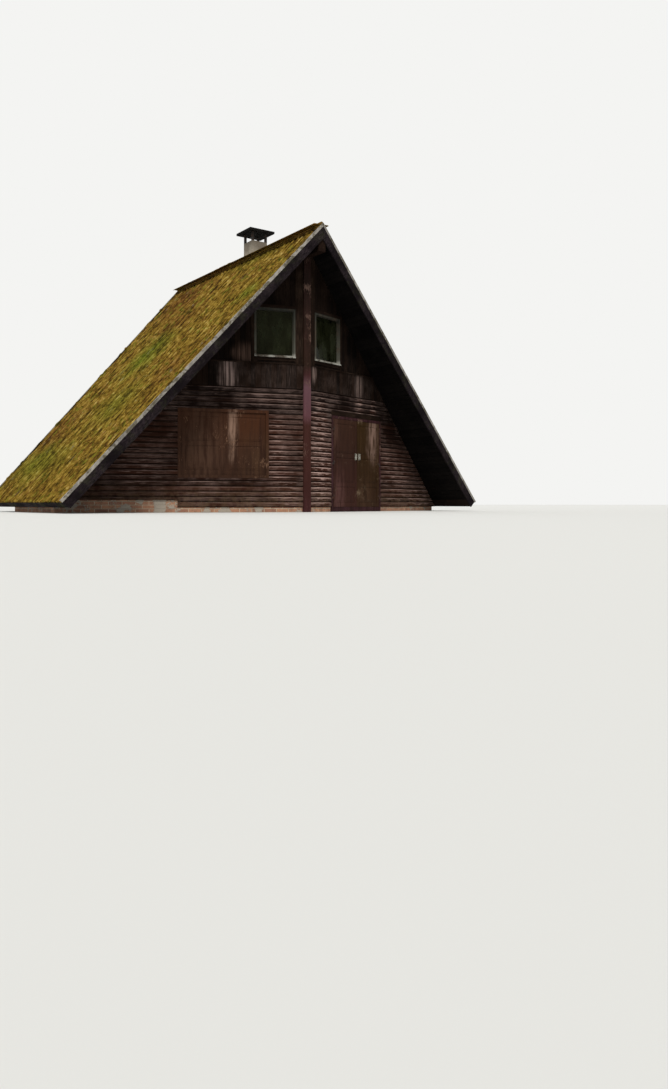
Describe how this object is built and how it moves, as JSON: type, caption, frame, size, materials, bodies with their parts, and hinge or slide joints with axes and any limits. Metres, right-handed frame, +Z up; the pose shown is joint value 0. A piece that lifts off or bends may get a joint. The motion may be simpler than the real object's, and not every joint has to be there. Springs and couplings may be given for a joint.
{
  "type": "a-frame cabin",
  "caption": "Two-storey A-frame timber cabin with prow-shaped end walls, steep mossy roof, double door, shuttered window and capped chimney",
  "frame": {"origin": "on the ground, in the middle of the cabin's footprint box", "axes": "+Z up; -Y out of the front gable with the double door; +X to the right as seen from the front"},
  "size_m": [10.2258, 6.9116, 6.62],
  "materials": {
    "masonry": "matte",
    "floor_slab": "matte",
    "maroon_paint": "satin",
    "wall_boards": "matte",
    "window_paint": "satin",
    "window_glass": "gloss",
    "shutter_wood": "satin",
    "door_wood": "satin",
    "handle_metal": "satin",
    "hinge_steel": "satin",
    "frame_timber": "matte",
    "loft_boards": "matte",
    "soffit_boards": "matte",
    "roof_covering": "matte",
    "verge_wood": "matte",
    "verge_zinc": "satin",
    "cap_steel": "matte"
  },
  "bodies": {
    "house": {"plinth_front": "masonry", "plinth_back": "masonry", "plinth_sides": "masonry", "chimney_stack": "masonry", "ground_floor": "floor_slab", "front_post": "maroon_paint", "back_post": "maroon_paint", "door_frame": "maroon_paint", "front_wall_left": "wall_boards", "front_wall_beside_door": "wall_boards", "front_wall_over_door": "wall_boards", "front_wall_right": "wall_boards", "front_band": "wall_boards", "front_gable": "wall_boards", "back_wall": "wall_boards", "back_gable": "wall_boards", "upper_window_frames_front": "window_paint", "upper_window_frames_back": "window_paint", "upper_window_glass": "window_glass", "shuttered_window_frame": "shutter_wood", "shutters": "shutter_wood", "hinge_knuckles_frame": "hinge_steel", "rafters_left": "frame_timber", "rafters_right": "frame_timber", "ridge_beam": "frame_timber", "loft_joists": "frame_timber", "loft_floor": "loft_boards", "roof_deck_left": "soffit_boards", "roof_deck_right": "soffit_boards", "roof_cover_left": "roof_covering", "roof_cover_right": "roof_covering", "ridge_cap": "roof_covering", "bargeboards_front": "verge_wood", "bargeboards_back": "verge_wood", "eave_fascias": "verge_wood", "verge_trims": "verge_zinc", "chimney_flashing": "verge_zinc", "chimney_cap_posts": "cap_steel", "chimney_cap": "cap_steel"},
    "left_leaf": {"door_leaf_left": "door_wood", "door_handle_left": "handle_metal", "hinge_knuckles_left": "hinge_steel"},
    "right_leaf": {"door_leaf_right": "door_wood", "door_handle_right": "handle_metal", "hinge_knuckles_right": "hinge_steel"}
  },
  "joints": [
    {"name": "left_leaf_hinge", "type": "hinge", "parent": "house", "child": "left_leaf", "pos_m": [0.85898, -2.60921, 1.075], "axis": [0, 0, -1], "range_deg": [0, 100]},
    {"name": "right_leaf_hinge", "type": "hinge", "parent": "house", "child": "right_leaf", "pos_m": [2.52104, -2.10107, 1.075], "axis": [0, 0, 1], "range_deg": [0, 100]}
  ]
}
